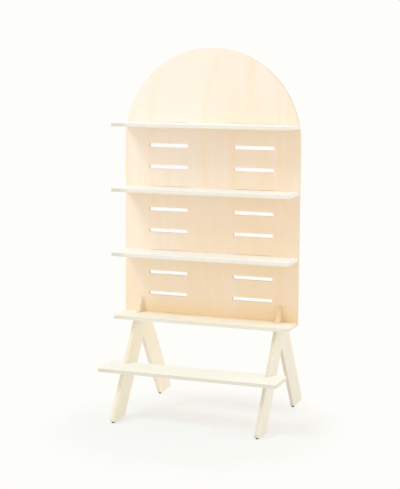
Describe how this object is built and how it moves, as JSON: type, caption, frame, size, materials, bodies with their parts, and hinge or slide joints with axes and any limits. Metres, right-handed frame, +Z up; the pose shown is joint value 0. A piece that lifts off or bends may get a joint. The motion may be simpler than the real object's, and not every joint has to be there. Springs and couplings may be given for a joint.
{
  "type": "tiered display stand",
  "caption": "Knock-down plywood display stand: arched back panel with slots, plug-in shelves, base shelf and low step shelf, held by two A-shaped side frames.",
  "frame": {"origin": "on the floor, on the centre line, at the back panel's middle plane, which is the centre of the footprint", "axes": "+X across the stand to the right seen from the front, +Y to the back, +Z up"},
  "size_m": [0.75, 0.6288, 1.4999],
  "materials": {
    "panel_plywood": "pale birch plywood, sanded, clear matt finish, grain upright",
    "shelf_plywood": "pale birch plywood, sanded, clear matt finish, grain along the shelf, open ply edges",
    "frame_plywood": "pale birch plywood, sanded, clear matt finish, open ply edges",
    "glide": "dark grey moulded plastic",
    "nail": "bright steel"
  },
  "bodies": {
    "frame": {"back_panel": "panel_plywood", "base_shelf": "shelf_plywood", "low_shelf": "shelf_plywood", "left_a_frame": "frame_plywood", "right_a_frame": "frame_plywood", "front_left_glide": "glide", "front_right_glide": "glide", "rear_left_glide": "glide", "rear_right_glide": "glide", "glide_nails": "nail"},
    "top_shelf": {"top_shelf": "shelf_plywood"},
    "middle_shelf": {"middle_shelf": "shelf_plywood"},
    "bottom_shelf": {"bottom_shelf": "shelf_plywood"}
  },
  "joints": [
    {"name": "top_shelf_slide", "type": "slide", "parent": "frame", "child": "top_shelf", "axis": [0, -1, 0], "range_m": [0, 0.027]},
    {"name": "middle_shelf_slide", "type": "slide", "parent": "frame", "child": "middle_shelf", "axis": [0, -1, 0], "range_m": [0, 0.027]},
    {"name": "bottom_shelf_slide", "type": "slide", "parent": "frame", "child": "bottom_shelf", "axis": [0, -1, 0], "range_m": [0, 0.027]}
  ]
}
